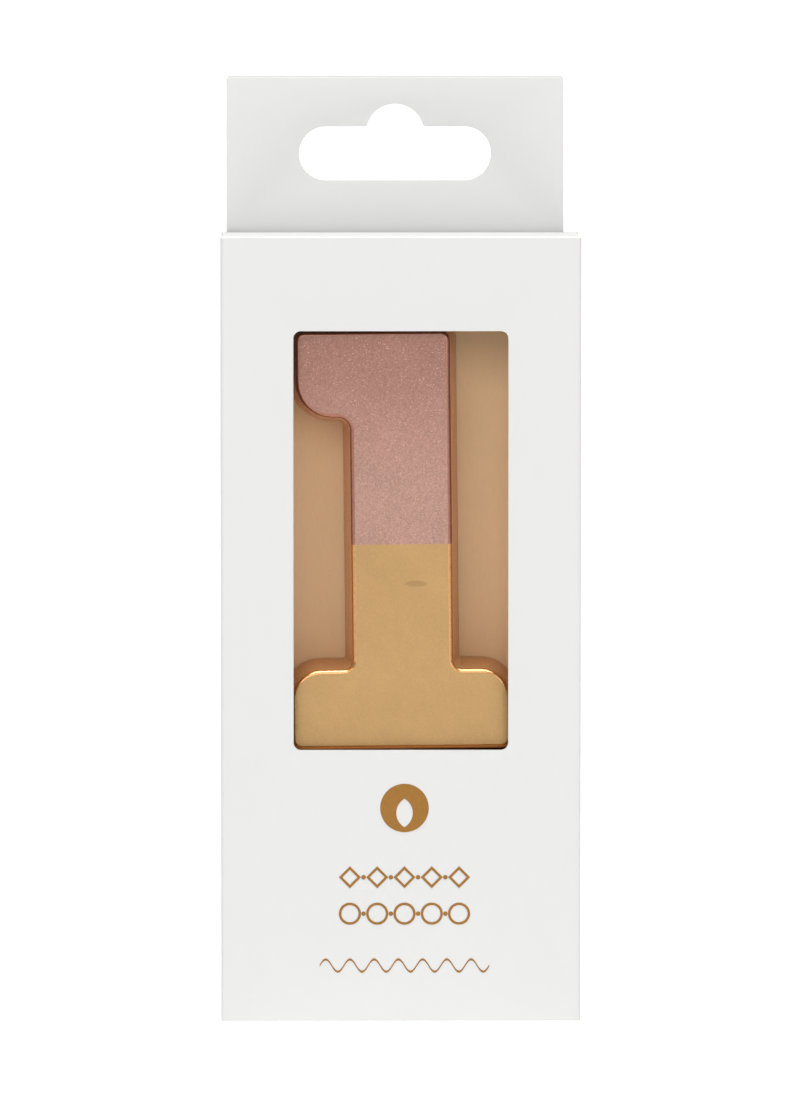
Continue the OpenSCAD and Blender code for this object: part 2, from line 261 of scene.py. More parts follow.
class Finish:
    """One procedural material, built from nodes on object coordinates in millimetres."""

    def __init__(self, name):
        self.material = bpy.data.materials.new(name)
        self.material.use_nodes = True
        self.tree = self.material.node_tree
        self.tree.nodes.clear()
        output = self.tree.nodes.new("ShaderNodeOutputMaterial")
        self.shader = self.tree.nodes.new("ShaderNodeBsdfPrincipled")
        self.tree.links.new(self.shader.outputs[0], output.inputs[0])
        coordinates = self.tree.nodes.new("ShaderNodeTexCoord")
        self.place = coordinates.outputs["Object"]

    def feed(self, socket, value):
        """Link a value to a socket, or set it there if it is a constant."""
        if isinstance(value, Field):
            self.tree.links.new(value.socket, socket)
        elif isinstance(value, bpy.types.NodeSocket):
            self.tree.links.new(value, socket)
        elif socket.type == "RGBA" and len(value) == 3:
            socket.default_value = (*value, 1)
        else:
            socket.default_value = value

    def add(self, kind, settings=None, inputs=None):
        """Any node: its settings first, then the values or links of its sockets."""
        node = self.tree.nodes.new("ShaderNode" + kind)
        for key, value in (settings or {}).items():
            setattr(node, key, value)
        for key, value in (inputs or {}).items():
            self.feed(node.inputs[key], value)
        return node

    def scaled(self, scale=(1, 1, 1)):
        """Object coordinates in millimetres, stretched by a scale along each axis."""
        node = self.add("Mapping", {"vector_type": "POINT"}, {
            "Vector": self.place, "Scale": [share / MM for share in scale]})
        return node.outputs[0]

    def noise(self, scale, detail=2.0, roughness=0.5, distortion=0.0, stretch=(1, 1, 1)):
        """Noise with a number of features in each millimetre."""
        node = self.add("TexNoise", {"noise_dimensions": "3D"}, {
            "Vector": self.scaled(stretch), "Scale": scale, "Detail": detail,
            "Roughness": roughness, "Distortion": distortion})
        return Field(self, node.outputs["Fac"])

    def cells(self, scale):
        """A random value for each small cell, with a number of cells in each millimetre."""
        node = self.add("TexVoronoi", {"feature": "F1"}, {"Vector": self.scaled(), "Scale": scale})
        parts = self.add("SeparateColor", {}, {"Color": node.outputs["Color"]})
        return Field(self, parts.outputs[0])

    def axis(self, index):
        """One object coordinate, in millimetres."""
        node = self.add("SeparateXYZ", {}, {"Vector": self.scaled()})
        return Field(self, node.outputs[index])

    def mixed(self, low, high, amount):
        """A colour between two others."""
        node = self.add("Mix", {"data_type": "RGBA"}, {0: amount, 6: low, 7: high})
        return node.outputs[2]

    def multiplied(self, colour, amount):
        """A colour made lighter or darker from place to place."""
        node = self.add("Mix", {"data_type": "RGBA", "blend_type": "MULTIPLY"},
                        {0: 1.0, 6: colour, 7: amount})
        return node.outputs[2]

    def relief(self, height, depth, below=None):
        """A bump of a depth in millimetres from a height field."""
        inputs = {"Height": height, "Strength": 1.0, "Distance": depth * MM}
        if below is not None:
            inputs["Normal"] = below
        return self.add("Bump", {}, inputs).outputs[0]

    def set(self, **sockets):
        """Set or link the shader's own sockets."""
        for key, value in sockets.items():
            name = key.replace("_", " ").title().replace("Ior", "IOR")
            self.feed(self.shader.inputs[name], value)


def shade(colour, factor):
    """A colour made lighter or darker."""
    return tuple(min(1.0, c * factor) for c in colour[:3])


# ---- Settings ----


def length(name, text, value):
    return bpy.props.FloatProperty(name=name, description=text, default=value * MM,
                                   unit="LENGTH", precision=5)


def colour(name, text, value):
    return bpy.props.FloatVectorProperty(name=name, description=text, default=value, size=3,
                                         subtype="COLOR", min=0, max=1)


def angle(name, text, value):
    return bpy.props.FloatProperty(name=name, description=text, default=math.radians(value),
                                   unit="ROTATION")


class BoardSettings(bpy.types.PropertyGroup):
    """White board of the carton and the card of its insert."""

    white: colour("White", "Coated face of the board", (0.664, 0.664, 0.654))
    core: colour("Core", "Cut edge of the board", (0.90, 0.82, 0.64))
    card: colour("Card", "Face of the insert card", (0.80, 0.57, 0.33))
    crease: length("Crease radius", "Outside radius of a folded corner", 0.65)
    nick: length("Cut edge", "Softness of a die-cut edge", 0.07)
    slot_height: length("Slot height", "Height of the hang slot's straight part", 9.1)
    hump: length("Hump radius", "Radius of the hang slot's hump", 4.9)
    slot_foot: length("Hump foot", "Radius where the hump meets the slot", 0.8)
    window_corner: length("Window corner", "Corner radius of the window", 1.2)
    tab_corner: length("Tab corner", "Corner radius of the hang tab", 0.6)
    tongue_corner: length("Tongue corner", "Largest radius of a tongue's free corners", 5.0)
    flap_corner: length("Flap corner", "Radius of a dust flap's back corner", 2.0)
    flap_tip: length("Flap tip", "Radius of a dust flap's front corner", 0.6)
    pick_slot: length("Pick slot corner", "Corner radius of the shelf's slot", 0.5)


class CandleSettings(bpy.types.PropertyGroup):
    """Digit, its two paint coats, its wick and its pick."""

    rose: colour("Rose gold", "Upper coat", (0.383, 0.224, 0.181))
    # Painted shade: the rose coat's colour at the top of the face, darker to stand in for the shade
    # under the window's top edge.
    painted_shade_rose: colour("Rose gold top", "Upper coat at the top", (0.308, 0.161, 0.124))
    gold: colour("Gold", "Lower coat", (0.423, 0.262, 0.109))
    rim_rose: colour("Rose gold rim", "Upper coat where it runs thin", (0.29, 0.10, 0.055))
    rim_gold: colour("Gold rim", "Lower coat where it runs thin", (0.56, 0.25, 0.07))
    wall_rose: colour("Rose gold wall", "Upper coat on the walls", (0.62, 0.285, 0.155))
    wall_gold: colour("Gold wall", "Lower coat on the walls", (0.58, 0.29, 0.11))
    height: length("Height", "Height of the digit's face", 68.4)
    stem: length("Stem", "Width of the stem", 15.4)
    stem_set: length("Stem set", "Sideways set of the stem on the foot", 0.35)
    foot: length("Foot", "Width of the foot", 35.3)
    foot_height: length("Foot height", "Height of the foot", 11.9)
    flag: length("Flag", "Reach of the flag from the stem", 9.1)
    flag_height: length("Flag height", "Height of the flag", 13.0)
    shoulder: length("Shoulder", "Corner radius of the foot's shoulders", 4.3)
    flag_corner: length("Flag corner", "Corner radius under the flag's tip", 5.5)
    foot_fillet: length("Foot fillet", "Inner radius between stem and foot", 2.3)
    flag_fillet: length("Flag fillet", "Inner radius between stem and flag", 2.7)
    corner: length("Corner", "Radius of the small corners", 1.0)
    rim: length("Rim", "Radius of the rolled rim", 0.75)
    draft: length("Draft", "Growth of the wall from rim to back", 1.1)
    colour_line: length("Colour line", "Height of the line between the coats", 33.5)
    side_set: length("Side set", "Sideways set of the candle in the carton", 0.15)
    lean: angle("Lean", "Lean of the candle to the left", 0.6)
    wick: length("Wick", "Diameter of the wick", 1.5)
    wick_length: length("Wick length", "Wick above the digit", 7.0)
    twist: length("Twist", "Rise of a strand in one turn of the wick", 6.5)
    pick_root: length("Pick root", "Length of the pick inside the wax", 14.0)
    pick_reach: length("Pick reach", "Length of the pick below the foot", 38.0)
    pick_point: length("Pick point", "Length of the pick's pointed end", 10.0)
    pick_width: length("Pick width", "Width of each blade of the pick", 3.6)
    pick_thick: length("Pick thickness", "Thickness of each blade of the pick", 1.0)


class FoilSettings(bpy.types.PropertyGroup):
    """Stamped foil on the front."""

    metal: colour("Foil", "Colour of the stamped foil", (0.335, 0.163, 0.040))


class StageSettings(bpy.types.PropertyGroup):
    """Floor, light and camera."""

    distance: length("Distance", "Camera to the middle of the pack", 1500)
    elevation: angle("Elevation", "Camera above level", 3.8)
    azimuth: angle("Azimuth", "Camera to the left of square", 0.5)
    lens: bpy.props.FloatProperty(name="Lens", description="Focal length", default=294.0, min=20)
    aim_x: length("Aim across", "Point looked at, across", -0.05)
    aim_z: length("Aim height", "Point looked at, above the base", 78.4)
    floor: colour("Floor", "Floor and backdrop", (0.93, 0.93, 0.93))
    glow: bpy.props.FloatProperty(name="Glow", description="Own light of the floor and backdrop",
                                  default=0.5, min=0)
    air: bpy.props.FloatProperty(name="Air", description="Strength of the light all round",
                                 default=0.38, min=0)


# ---- Finishes ----


def white_board(settings):
    """Coated white board: faint mottle, slightly rubbed patches and a fine tooth."""
    finish = Finish("white_board")
    mottle = finish.noise(0.35, detail=4)
    rubbed = finish.noise(0.06, detail=3).between(0.52, 0.72)
    grain = finish.noise(5, detail=3, stretch=(1, 1, 0.5))
    tone = (mottle - 0.5) * 0.10 + rubbed * 0.06 + (grain - 0.5) * 0.12
    white = settings.white
    colour_now = finish.mixed(white, shade(white, 0.90), (tone + 0.1).clamp())
    finish.set(base_color=colour_now, roughness=(grain - 0.5) * 0.12 + 0.5 + rubbed * 0.06,
               specular_ior_level=0.35,
               normal=finish.relief(grain + mottle * 0.5, 0.004))
    return finish.material


def board_core(settings):
    """Die-cut edge of the board: warm grey fibres."""
    finish = Finish("board_core")
    fibre = finish.noise(9, detail=4, stretch=(1, 3, 1))
    finish.set(base_color=finish.mixed(settings.core, shade(settings.core, 0.8), fibre),
               roughness=fibre * 0.1 + 0.75, normal=finish.relief(fibre, 0.01))
    return finish.material


def tan_card(settings):
    """Warm tan card with a fibre grain and small darker flecks."""
    finish = Finish("tan_card")
    fibre = finish.noise(2.2, detail=5, roughness=0.65, stretch=(1, 1, 0.22))
    cloud = finish.noise(0.09, detail=3)
    fleck = finish.noise(3.5, detail=1).between(0.70, 0.76)
    tone = (fibre - 0.5) * 0.5 + (cloud - 0.5) * 0.5 + 0.35 + fleck * 0.4
    finish.set(base_color=finish.mixed(settings.card, shade(settings.card, 0.80), tone.clamp()),
               roughness=fibre * 0.15 + 0.62, normal=finish.relief(fibre + fleck * 0.3, 0.012))
    return finish.material


def metal_paint(name, face_colour, rim_colour, wall_colour, grain, spot=None, painted_shade=None):
    """Metallic paint: fine flakes with painted glints and soft blotches, with a glossy rim and a
    duller wall.

    A spot is where the paint is rubbed darker: its middle across and up, its width and height.
    Painted shade darkens the face upwards, standing in for shade that falls on its top: the height
    where the darkening starts, the height where it ends, and its darker colour.
    """
    finish = Finish(name)
    depth = finish.axis(1) - COAT[0].y / MM
    rim = depth.between(0.0005, 0.012)
    wall = depth.between(0.5, 1.0)
    flake = finish.cells(6.5)
    fine = finish.noise(3.6, detail=3, roughness=0.75)
    cloud = finish.noise(0.16, detail=4, roughness=0.6)
    tone = (flake - 0.5) * 0.45 * grain + (fine - 0.5) * 1.3 * grain + (cloud - 0.5) * 0.5
    if spot:
        x, z, wide, high = spot
        across = (finish.axis(0) - x) * (1 / wide)
        up = (finish.axis(2) - z) * (1 / high)
        ragged = across * across + up * up + (fine - 0.5) * 2.5
        tone = tone - (1 - ragged.between(0.4, 1.3)) * 0.5
    # Painted shade: the face colour turns darker upwards, standing in for shade that falls on the
    # top of the face.
    if painted_shade:
        low, high, painted_shade_colour = painted_shade
        base = finish.mixed(face_colour, painted_shade_colour, finish.axis(2).between(low, high))
    else:
        base = face_colour
    plain = finish.multiplied(base, (tone + 0.5).clamp() * 0.4 + 0.8)
    edge = finish.mixed(shade(rim_colour, 0.85), shade(rim_colour, 1.15), fine)
    side = finish.mixed(shade(wall_colour, 0.85), shade(wall_colour, 1.15), fine)
    # Painted glint: a few flakes get a lighter colour, standing in for flakes that catch the light;
    # its strength follows grain.
    painted_glint = (flake > 0.965) * (1 - rim) * (0.35 * grain)
    face = finish.mixed(plain, shade(face_colour, 1.5), painted_glint)
    dust = finish.relief(fine * 0.6 + flake * 0.4, 0.010)
    rough = (fine - 0.5) * 0.14 + (flake - 0.5) * 0.10 + 0.48 - rim * 0.30 + wall * 0.14
    finish.set(base_color=finish.mixed(finish.mixed(face, edge, rim), side, wall),
               metallic=0.72 - wall * 0.3, roughness=rough,
               coat_weight=rim - wall, coat_roughness=0.12,
               normal=finish.relief(cloud, 0.10, below=dust))
    return finish.material


def wax_finish():
    """Plain ivory wax, slightly cloudy."""
    finish = Finish("wax")
    cloud = finish.noise(0.3, detail=4)
    finish.set(base_color=finish.mixed((0.80, 0.72, 0.58), (0.72, 0.62, 0.47), cloud),
               roughness=cloud * 0.2 + 0.4,
               normal=finish.relief(finish.noise(1.5, detail=3), 0.02))
    return finish.material


def cotton_finish():
    """Waxed cotton strands with fine slanting fibres."""
    finish = Finish("waxed_cotton")
    fibre = finish.noise(9, detail=4, stretch=(1, 1, 0.2), distortion=0.4)
    finish.set(base_color=finish.mixed((0.86, 0.83, 0.74), (0.66, 0.62, 0.50), fibre),
               roughness=fibre * 0.25 + 0.55, normal=finish.relief(fibre, 0.03))
    return finish.material


def plastic_finish():
    """White moulded plastic with a faint flow haze."""
    finish = Finish("moulded_plastic")
    haze = finish.noise(0.5, detail=3, distortion=0.8)
    finish.set(base_color=finish.mixed((0.86, 0.86, 0.84), (0.78, 0.78, 0.75), haze),
               roughness=haze * 0.15 + 0.25, normal=finish.relief(haze, 0.01))
    return finish.material


def foil_finish(settings):
    """Satin gold foil: small uneven patches where it took to the board."""
    finish = Finish("stamped_foil")
    patchy = finish.noise(1.8, detail=5, roughness=0.7)
    speck = finish.noise(6, detail=2).between(0.62, 0.74)
    tone = (patchy - 0.5) * 0.9 + 0.4 + speck * 0.3
    finish.set(base_color=finish.mixed(settings.metal, shade(settings.metal, 0.72), tone.clamp()),
               metallic=0.9, roughness=patchy * 0.25 + 0.34,
               normal=finish.relief(patchy, 0.008))
    return finish.material


def floor_finish(settings):
    """Plain pale floor with a light of its own."""
    finish = Finish("studio_floor")
    cloud = finish.noise(0.01, detail=2)
    finish.set(base_color=finish.mixed(settings.floor, shade(settings.floor, 0.99), cloud),
               roughness=cloud * 0.05 + 0.8, emission_color=(1, 1, 1, 1),
               emission_strength=settings.glow)
    return finish.material


# ---- Carton ----

FRONT_MID = FRONT[0].y + HALF
BACK_MID = BACK[1].y - HALF
PLY_MID = (PLY[0].y + PLY[1].y) / 2
SIDE_MID = SIDE_X - HALF
FOLD_R = (PLY_MID - BACK_MID) / 2
FOLD_Z = BACK[1].z - FOLD_R - HALF
SHEET = BOARD * 0.96
LID_HINGE = PACK_TOP - HALF
DUST_HINGE = (DUST[0].z + DUST[1].z) / 2
BASE_TURN = {"move": (0, FRONT[0].y + BACK[1].y, PACK_TOP), "turn": (math.pi, 0, 0)}


def opening(node, margin, axes=(0, 2)):
    """The extents of a hole inside a flat CAD node, along two axes."""
    low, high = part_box(node)
    inner = [v.co for v in bpy.data.objects[node].data.vertices
             if all(low[a] + margin < v.co[a] < high[a] - margin for a in axes)]
    return [(min(c[a] for c in inner), max(c[a] for c in inner)) for a in axes]


def round_block(name, low, high, axis, radius, segments):
    """A block whose edges along one axis are rounded."""
    return bevel(add_block(name, low, high), along(axis), radius, segments)


def join(pieces):
    """Make several cutters one."""
    activate(pieces[0])
    for piece in pieces[1:]:
        piece.select_set(True)
    bpy.ops.object.join()
    return bpy.context.object


def slot_cutter(settings):
    """Euro slot: a long slot with round ends, a hump on its middle, and small radii at its foot."""
    (x0, x1), (z0, z1) = opening("tab_ply", 2 * MM)
    y0, y1 = BACK[0].y - PAST, PLY[1].y + PAST
    top = z0 + settings.slot_height
    middle = (x0 + x1) / 2
    cutter = round_block("slot_cutter", (x0, y0, z0), (x1, y1, top), 1,
                         settings.slot_height / 2 * 0.995, 10)
    drop = settings.hump - (z1 - top)
    bpy.ops.object.select_all(action="DESELECT")
    bpy.ops.mesh.primitive_cylinder_add(
        vertices=40, radius=settings.hump, depth=y1 - y0,
        location=(middle, (y0 + y1) / 2, top - drop), rotation=(math.pi / 2, 0, 0))
    carve(cutter, settle(bpy.context.object), "UNION")
    reach = math.sqrt(settings.hump ** 2 - drop ** 2)
    bevel(cutter, lambda at, way: abs(way.y) > 0.99 and abs(at.z - top) < 0.1 * MM
          and abs(abs(at.x - middle) - reach) < 0.25 * MM, settings.slot_foot * 0.5, 3)
    return cutter


def corner_cutter(x, side, radius):
    """Takes the square corner off the top of the tab."""
    out = 0.1 * MM
    top = BACK[1].z
    low_x, high_x = sorted((x - side * radius, x + side * out))
    block = add_block("corner_cutter", (low_x, BACK[0].y - PAST, top - radius),
                      (high_x, PLY[1].y + PAST, top + out))
    bpy.ops.object.select_all(action="DESELECT")
    bpy.ops.mesh.primitive_cylinder_add(
        vertices=48, radius=radius, depth=6 * MM,
        location=(x - side * radius, (BACK[0].y + PLY[1].y) / 2, top - radius),
        rotation=(math.pi / 2, 0, 0))
    return carve(block, settle(bpy.context.object))


def build_sleeve(settings):
    """Four walls, hang tab and second ply, folded from one sheet."""
    sleeve = add_block("carton_sleeve", (-SIDE_MID, FRONT_MID, FRONT[0].z),
                       (SIDE_MID, BACK_MID, PACK_TOP))
    pick(sleeve, "faces", lambda at, way: abs(way.z) > 0.9)
    bpy.ops.mesh.delete(type="FACE")
    leave_edit(sleeve)
    bevel(sleeve, along(2), settings.crease - HALF, 4)
    for x in (PLY[0].x, PLY[1].x):
        pick(sleeve, "faces", lambda at, way: way.y > 0.9)
        bpy.ops.mesh.bisect(plane_co=(x, 0, 0), plane_no=(1, 0, 0))
        leave_edit(sleeve)
    pick(sleeve, "edges", lambda at, way: abs(way.x) > 0.9 and at.y > 0
         and at.z > PACK_TOP - MM and PLY[0].x < at.x < PLY[1].x)
    steps = 8
    path = [Vector((0, BACK_MID, PACK_TOP))]
    path += [Vector((0, (BACK_MID + PLY_MID) / 2 - FOLD_R * math.cos(math.pi * i / steps),
                     FOLD_Z + FOLD_R * math.sin(math.pi * i / steps))) for i in range(steps + 1)]
    path.append(Vector((0, PLY_MID, PLY[0].z)))
    for start, end in zip(path, path[1:]):
        bpy.ops.mesh.extrude_region_move(TRANSFORM_OT_translate={"value": end - start})
    leave_edit(sleeve)
    pick(sleeve, "faces", lambda at, way: True)
    bpy.ops.mesh.normals_make_consistent(inside=False)
    leave_edit(sleeve)
    finish_with(sleeve, "SOLIDIFY", thickness=SHEET, offset=0, use_even_offset=True)

    (x0, x1), (z0, z1) = opening("front_panel", 2 * MM)
    out = 0.3 * MM
    carve(sleeve, round_block("window_cutter", (x0, FRONT[0].y - PAST, z0),
                              (x1, FRONT[1].y + PAST, z1), 1, settings.window_corner, 6))
    carve(sleeve, slot_cutter(settings))
    carve(sleeve, corner_cutter(PLY[0].x, -1, settings.tab_corner))
    carve(sleeve, corner_cutter(PLY[1].x, 1, settings.tab_corner))
    notch_y0, notch_y1 = FRONT[0].y + settings.crease + out, BACK[1].y - settings.crease - out
    edge_x = SIDE_X + out
    trims = [((-edge_x, FRONT[0].y - out, LID_HINGE), (edge_x, notch_y0, LID_HINGE + PAST)),
             ((-edge_x, notch_y1, FRONT[0].z - PAST), (edge_x, BACK[1].y + out, FRONT[0].z + HALF))]
    for side in (-1, 1):
        x_low, x_high = sorted((side * edge_x, side * (SIDE_X - settings.crease - out)))
        for z_low, z_high in ((DUST_HINGE, PACK_TOP + 2 * PAST),
                              (FRONT[0].z - PAST, PACK_TOP - DUST_HINGE)):
            trims.append(((x_low, notch_y0 - TOUCH, z_low), (x_high, notch_y1 + TOUCH, z_high)))
    for low, high in trims:
        carve(sleeve, add_block("trim", low, high))

    def on_face(y, box, margin):
        """A test for what lies in one plane, in or near a hole's extents."""
        (a0, a1), (b0, b1) = box
        return lambda at, way: (abs(at.y - y) < 3 * TOUCH and a0 - margin < at.x < a1 + margin
                                and b0 - margin < at.z < b1 + margin)

    window = ((x0, x1), (z0, z1))
    slot = opening("tab_ply", 2 * MM)
    margin = 2 * TOUCH
    bevel(sleeve, on_face(FRONT_MID - SHEET / 2, window, margin), settings.nick * 2.6, 3)
    bevel(sleeve, on_face(BACK_MID - SHEET / 2, slot, margin), settings.nick, 2)
    bevel(sleeve, on_face(PLY_MID + SHEET / 2, slot, margin), settings.nick, 2)
    smooth(sleeve)
    for hole, y_mid in ((window, FRONT_MID), (slot, (BACK_MID + PLY_MID) / 2)):
        test = on_face(0, hole, 2.5 * settings.nick)
        paint_faces(sleeve, 1, lambda at, way, y=y_mid, t=test: abs(at.y - y) < MM
                    and abs(way.y) < 0.97 and t(Vector((at.x, 0, at.z)), way))
    return sleeve


def build_lid(settings):
    """Lid with a full round along both of its creases."""
    lid = add_block("upper_lid", (LID[0].x, FRONT[0].y, PACK_TOP - BOARD),
                    (LID[1].x, TONGUE[1].y, PACK_TOP))
    bevel(lid, along(0), HALF * 0.98, 4)
    return smooth(soften(lid, settings.nick * CUT_SHARE))


def build_tongue(settings):
    """Tuck tongue with well-rounded free corners."""
    radius = min(settings.tongue_corner, (TONGUE[1].z - TONGUE[0].z) / 2)
    mid = (TONGUE[0].y + TONGUE[1].y) / 2
    tongue = add_block("upper_tongue", (TONGUE[0].x, mid - SHEET / 2, TONGUE[0].z),
                       (TONGUE[1].x, mid + SHEET / 2, LID_HINGE + SHEET / 2))
    bevel(tongue, lambda at, way: abs(way.y) > 0.99 and at.z < TONGUE[0].z + MM, radius, 10)
    bevel(tongue, lambda at, way: abs(way.x) > 0.99 and at.z > LID_HINGE, SHEET / 2 * 0.98, 4)
    return smooth(soften(tongue, settings.nick * CUT_SHARE))


def build_dust_flap(settings):
    """Dust flap with a slanting front edge and one rounded corner."""
    corners = [v.co for v in bpy.data.objects["top_dust_left"].data.vertices]
    tip_y = min(c.y for c in corners if c.x > DUST[1].x - 0.1 * MM)
    flap = add_block("upper_flap_left", (-SIDE_X, DUST[0].y, DUST[0].z), DUST[1])
    pick(flap, "faces", lambda at, way: True)
    bpy.ops.mesh.bisect(plane_co=(DUST[0].x, 0, 0), plane_no=(1, 0, 0))
    leave_edit(flap)
    pick(flap, "verts", lambda at, way: at.x > DUST[1].x - MM and at.y < DUST[0].y + MM)
    bpy.ops.transform.translate(value=(0, tip_y - DUST[0].y, 0))
    leave_edit(flap)
    upright = along(2)
    bevel(flap, lambda at, way: upright(at, way) and at.x > DUST[1].x - MM and at.y > tip_y + MM,
          settings.flap_corner, 6)
    bevel(flap, lambda at, way: upright(at, way) and at.x > DUST[1].x - MM and at.y < tip_y + MM,
          settings.flap_tip, 3)
    bevel(flap, lambda at, way: abs(way.y) > 0.99 and at.x < DUST[0].x - HALF / 2, HALF * 0.98, 4)
    return smooth(soften(flap, settings.nick * CUT_SHARE))


# ---- Insert ----


def build_insert(settings):
    """Back and two wings, folded from one card."""
    wing_mid = (WING[0].x + WING[1].x) / 2
    back_mid = (CARD[0].y + CARD[1].y) / 2
    insert = add_block("insert_card", (wing_mid, WING[0].y, CARD[0].z),
                       (-wing_mid, back_mid, CARD[1].z))
    pick(insert, "faces", lambda at, way: abs(way.z) > 0.9 or way.y < -0.9)
    bpy.ops.mesh.delete(type="FACE")
    leave_edit(insert)
    bevel(insert, lambda at, way: abs(way.z) > 0.99 and at.y > back_mid - MM,
          settings.crease - HALF, 4)
    finish_with(insert, "SOLIDIFY", thickness=SHEET, offset=0, use_even_offset=True)
    return smooth(insert)


def build_shelf(settings):
    """Shelf of the insert, with the square slot that the pick goes through."""
    (x0, x1), (y0, y1) = opening("insert_shelf", MM, (0, 1))
    shelf = add_block("insert_step", SHELF[0], SHELF[1])
    carve(shelf, round_block("pick_slot", (x0, y0, SHELF[0].z - PAST),
                             (x1, y1, SHELF[1].z + PAST), 2, settings.pick_slot, 3))
    return smooth(soften(shelf, settings.nick * CUT_SHARE))


# ---- Candle ----

DIGIT_T = COAT[1].y - COAT[0].y
BACK_CHAMFER = 0.3 * MM
COAT_SKIN = 0.12 * MM
# Thickness of the slab that the digit's walls and rim are drawn out of
SLAB = 0.4 * MM


def stand(piece, settings, middle=0.0):
    """Stand a piece made in the digit's own frame in the carton, with the candle's lean."""
    grow = settings.rim + settings.draft
    lean = settings.lean
    foot_z = SHELF[1].z + grow + settings.foot / 2 * math.sin(lean)
    piece.rotation_euler = (0, -lean, 0)
    piece.location = (settings.side_set, COAT[0].y + middle, foot_z)
    return settle(piece)


def build_digit(settings):
    """The whole digit: flat face, rolled rim and drafted wall, in its own frame."""
    grow = settings.rim + settings.draft
    left = settings.stem_set - settings.stem / 2 - grow
    right = settings.stem_set + settings.stem / 2 + grow
    foot_x = settings.foot / 2 + grow
    foot_top = settings.foot_height + grow
    flag_under = settings.height - settings.flag_height - grow
    flag_tip = left - settings.flag
    top = settings.height + grow
    digit = add_block("digit_gold", (left, DIGIT_T - SLAB, -grow), (right, DIGIT_T, top))
    for z in (foot_top, flag_under):
        pick(digit, "faces", lambda at, way: True)
        bpy.ops.mesh.bisect(plane_co=(0, 0, z), plane_no=(0, 0, 1))
        leave_edit(digit)
    for side, test, reach in (
            (-1, lambda at: at.z < foot_top, foot_x + left),
            (1, lambda at: at.z < foot_top, foot_x - right),
            (-1, lambda at: at.z > flag_under, settings.flag)):
        pick(digit, "faces", lambda at, way: way.x * side > 0.9 and test(at)
             and (at.x - (left if side < 0 else right)) * side > -TOUCH)
        bpy.ops.mesh.extrude_region_move(TRANSFORM_OT_translate={"value": (side * reach, 0, 0)})
        leave_edit(digit)
    pick(digit, "faces", lambda at, way: True)
    bpy.ops.mesh.dissolve_limited(angle_limit=math.radians(1))
    leave_edit(digit)
    corners = (
        ((-foot_x, -grow), settings.corner + grow),
        ((foot_x, -grow), settings.corner + grow),
        ((-foot_x, foot_top), settings.shoulder + grow),
        ((foot_x, foot_top), settings.shoulder + grow),
        ((left, foot_top), settings.foot_fillet - grow),
        ((right, foot_top), settings.foot_fillet - grow),
        ((left, flag_under), settings.flag_fillet - grow),
        ((flag_tip, flag_under), settings.flag_corner + grow),
        ((flag_tip, top), settings.corner + grow),
        ((right, top), settings.corner + grow))
    for (x, z), radius in corners:
        bevel(digit, lambda at, way: abs(way.y) > 0.99 and abs(at.x - x) < 5 * TOUCH
              and abs(at.z - z) < 5 * TOUCH, radius, 8)
    pick(digit, "faces", lambda at, way: way.y < -0.9)
    bpy.ops.mesh.inset(thickness=settings.draft, depth=DIGIT_T - SLAB - settings.rim,
                       use_even_offset=True)
    steps = 6
    turns = [math.pi / 2 * i / steps for i in range(steps, -1, -1)]
    for a, b in zip(turns, turns[1:]):
        bpy.ops.mesh.inset(thickness=settings.rim * (math.sin(a) - math.sin(b)),
                           depth=settings.rim * (math.cos(b) - math.cos(a)), use_even_offset=True)
    leave_edit(digit)
    bevel(digit, lambda at, way: abs(at.y - DIGIT_T) < TOUCH and abs(way.y) < 0.1,
          BACK_CHAMFER, 2)
    return digit


def coat_half(digit, name, settings, upper):
    """One paint coat: the part of the digit's skin on one side of the colour line."""
    half = copy_of(digit, name)
    pick(half, "faces", lambda at, way: True)
    bpy.ops.mesh.bisect(plane_co=(0, 0, settings.colour_line), plane_no=(0, 0, 1),
                        clear_inner=upper, clear_outer=not upper)
    leave_edit(half)
    finish_with(half, "SOLIDIFY", thickness=COAT_SKIN, offset=-1, use_even_offset=True)
    return smooth(stand(half, settings), 30)


def build_wick(settings):
    """Three waxed strands twisted together."""
    low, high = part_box("wick")
    length_now = (high.z - low.z) * 0.999
    strand_r = settings.wick / 4
    set_out = settings.wick / 2 - strand_r
    turns = length_now / settings.twist
    count = 3
    strands = []
    for i in range(count):
        around = 2 * math.pi * i / count
        bpy.ops.object.select_all(action="DESELECT")
        bpy.ops.mesh.primitive_circle_add(
            vertices=12, radius=strand_r,
            location=(set_out * math.cos(around), set_out * math.sin(around), 0))
        strand = settle(bpy.context.object)
        finish_with(strand, "SCREW", axis="Z", angle=2 * math.pi * turns, screw_offset=length_now,
                    steps=110, iterations=1, use_normal_calculate=True)
        for z in (0, length_now):
            pick(strand, "edges", lambda at, way: abs(at.z - z) < TOUCH)
            bpy.ops.mesh.edge_face_add()
            leave_edit(strand)
        strands.append(strand)
    wick = join(strands)
    wick.name = wick.data.name = "wick_strands"
    pick(wick, "faces", lambda at, way: True)
    bpy.ops.mesh.normals_make_consistent(inside=False)
    leave_edit(wick)
    wick.location = (settings.stem_set, 0, settings.height + settings.rim + settings.draft
                     - (length_now - settings.wick_length))
    settle(wick)
    return smooth(stand(wick, settings, DIGIT_T / 2), 50)


